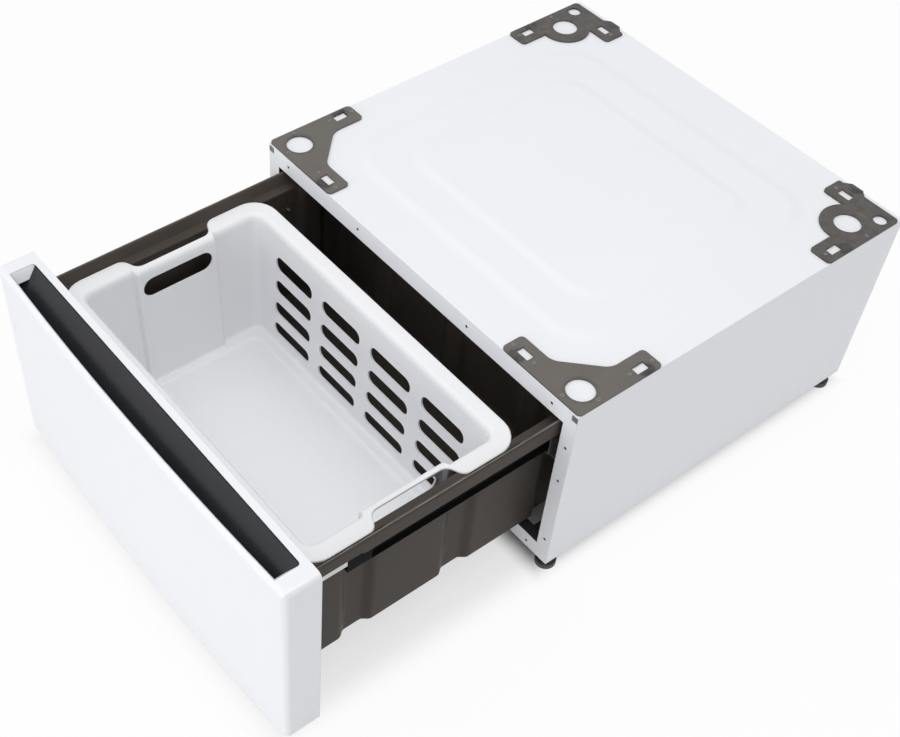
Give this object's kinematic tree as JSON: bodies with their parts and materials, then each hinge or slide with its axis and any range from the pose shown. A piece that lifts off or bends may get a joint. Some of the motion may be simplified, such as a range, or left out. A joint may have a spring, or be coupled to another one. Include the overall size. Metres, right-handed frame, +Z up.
{
  "type": "laundry pedestal drawer",
  "caption": "White sheet steel pedestal on levelling feet, with corner sockets on top and a full-width drawer that runs on ball slides and holds a lift-out slotted basket.",
  "frame": {"origin": "on the floor, midway between the four levelling feet", "axes": "+Z up, -Y the way the drawer opens, +X to the right for someone who stands in front of the drawer and faces it"},
  "size_m": [0.686, 1.1271, 0.357],
  "materials": {
    "white_enamel": "smooth semi-gloss white enamel on sheet steel",
    "back_sheet": "plain light grey primer on sheet steel",
    "bracket_enamel": "satin dark warm grey enamel",
    "tub_enamel": "satin dark warm grey enamel",
    "zinc_steel": "galvanised sheet steel",
    "screw_steel": "plain steel",
    "black_steel": "black coated steel",
    "cage_brass": "stamped sheet",
    "ball_steel": "polished steel",
    "grey_plastic": "moulded",
    "black_plastic": "moulded, fine grain",
    "clip_plastic": "moulded, dull",
    "white_plastic": "moulded, semi-gloss",
    "foot_rubber": "moulded",
    "bumper_rubber": "moulded"
  },
  "bodies": {
    "cabinet": {"top_panel": "white_enamel", "left_side_panel": "white_enamel", "right_side_panel": "white_enamel", "back_panel": "back_sheet", "front_sill": "white_enamel", "rear_sill": "white_enamel", "foot_plates": "zinc_steel", "foot_nuts": "zinc_steel", "front_left_bracket": "bracket_enamel", "front_right_bracket": "bracket_enamel", "rear_left_bracket": "bracket_enamel", "rear_right_bracket": "bracket_enamel", "bracket_rivets": "screw_steel", "corner_plugs": "grey_plastic", "panel_screws": "screw_steel", "slide_rivets": "screw_steel", "left_slide_mount": "zinc_steel", "right_slide_mount": "zinc_steel", "left_outer_slide": "zinc_steel", "right_outer_slide": "zinc_steel"},
    "drawer": {"drawer_tub": "tub_enamel", "front_panel": "white_enamel", "front_inner_panel": "white_enamel", "handle_pocket": "black_plastic", "left_inner_slide": "black_steel", "right_inner_slide": "black_steel", "left_slide_clip": "clip_plastic", "right_slide_clip": "clip_plastic", "left_front_tie": "zinc_steel", "right_front_tie": "zinc_steel", "front_screws": "screw_steel", "slide_screws": "screw_steel", "drawer_bumpers": "bumper_rubber"},
    "left_cage": {"left_ball_cage": "cage_brass", "left_slide_balls": "ball_steel"},
    "right_cage": {"right_ball_cage": "cage_brass", "right_slide_balls": "ball_steel"},
    "basket": {"laundry_basket": "white_plastic"},
    "front_left_foot": {"front_left_foot_pad": "foot_rubber", "front_left_foot_stud": "zinc_steel"},
    "front_right_foot": {"front_right_foot_pad": "foot_rubber", "front_right_foot_stud": "zinc_steel"},
    "rear_left_foot": {"rear_left_foot_pad": "foot_rubber", "rear_left_foot_stud": "zinc_steel"},
    "rear_right_foot": {"rear_right_foot_pad": "foot_rubber", "rear_right_foot_stud": "zinc_steel"}
  },
  "joints": [
    {"name": "drawer_slide", "type": "slide", "parent": "cabinet", "child": "drawer", "axis": [0, -1, 0], "range_m": [-0.407, 0]},
    {"name": "left_cage_slide", "type": "slide", "parent": "cabinet", "child": "left_cage", "axis": [0, -1, 0], "range_m": [-0.2035, 0]},
    {"name": "right_cage_slide", "type": "slide", "parent": "cabinet", "child": "right_cage", "axis": [0, -1, 0], "range_m": [-0.2035, 0]},
    {"name": "basket_lift", "type": "slide", "parent": "drawer", "child": "basket", "axis": [0, 0, 1], "range_m": [0, 0.26]},
    {"name": "front_left_foot_screw", "type": "slide", "parent": "cabinet", "child": "front_left_foot", "axis": [0, 0, -1], "range_m": [0, 0.02]},
    {"name": "front_right_foot_screw", "type": "slide", "parent": "cabinet", "child": "front_right_foot", "axis": [0, 0, -1], "range_m": [0, 0.02]},
    {"name": "rear_left_foot_screw", "type": "slide", "parent": "cabinet", "child": "rear_left_foot", "axis": [0, 0, -1], "range_m": [0, 0.02]},
    {"name": "rear_right_foot_screw", "type": "slide", "parent": "cabinet", "child": "rear_right_foot", "axis": [0, 0, -1], "range_m": [0, 0.02]}
  ],
  "couplings": [
    {"joint": "left_cage_slide", "follows": "drawer_slide", "ratio": 0.5},
    {"joint": "right_cage_slide", "follows": "drawer_slide", "ratio": 0.5}
  ]
}
